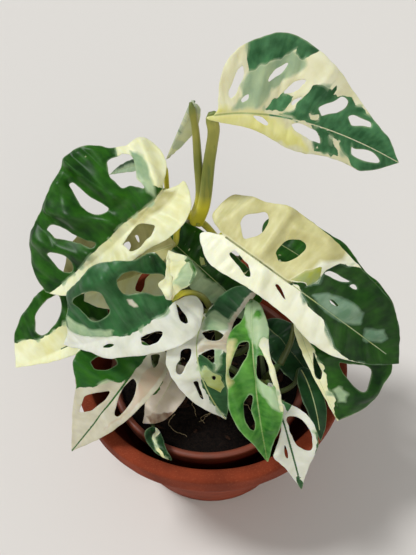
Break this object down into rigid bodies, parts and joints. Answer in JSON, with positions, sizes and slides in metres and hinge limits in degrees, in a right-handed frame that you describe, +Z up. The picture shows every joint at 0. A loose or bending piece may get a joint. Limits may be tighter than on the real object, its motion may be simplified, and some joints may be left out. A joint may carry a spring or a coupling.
{
  "type": "potted monstera plant",
  "caption": "Variegated monstera with long, holed leaves on arching stalks, growing in a nursery pot inside a round terracotta pot.",
  "frame": {"origin": "middle of the cover pot's flat base", "axes": "+Z up, -Y towards the front of the plant, +X to the right seen from the front"},
  "size_m": [0.2285, 0.1996, 0.2787],
  "materials": {
    "terracotta": "unglazed fired clay, matte",
    "nursery_pot": "moulded brown plastic",
    "soil": "moist peat with roots and bark",
    "stems": "smooth living stalk",
    "leaf_green": "waxy leaf, satin",
    "leaf_variegated": "waxy cream and green leaf, satin"
  },
  "bodies": {
    "root": {"cover_pot": "terracotta", "nursery_pot": "nursery_pot", "soil": "soil", "stem_back": "stems", "stem_front": "stems", "stem_left": "stems", "stem_right": "stems", "leaf_crown": "leaf_variegated", "leaf_left_big": "leaf_green", "leaf_left_under": "leaf_variegated", "leaf_left_shade": "leaf_green", "leaf_lower_cream": "leaf_variegated", "leaf_left_front": "leaf_variegated", "leaf_crumpled": "leaf_variegated", "leaf_back_center": "leaf_green", "leaf_right_big": "leaf_variegated", "leaf_right_back": "leaf_green", "leaf_right_low": "leaf_green", "leaf_front_green": "leaf_green", "leaf_front_white": "leaf_variegated", "leaf_mid_white": "leaf_variegated", "leaf_low_left": "leaf_variegated", "leaf_far_left": "leaf_variegated", "leaf_young_rolled": "leaf_variegated", "leaf_old_drooping": "leaf_variegated", "leaf_withered": "leaf_green", "leaf_inner_dark": "leaf_green", "leaf_rim_dark": "leaf_green"}
  },
  "joints": []
}
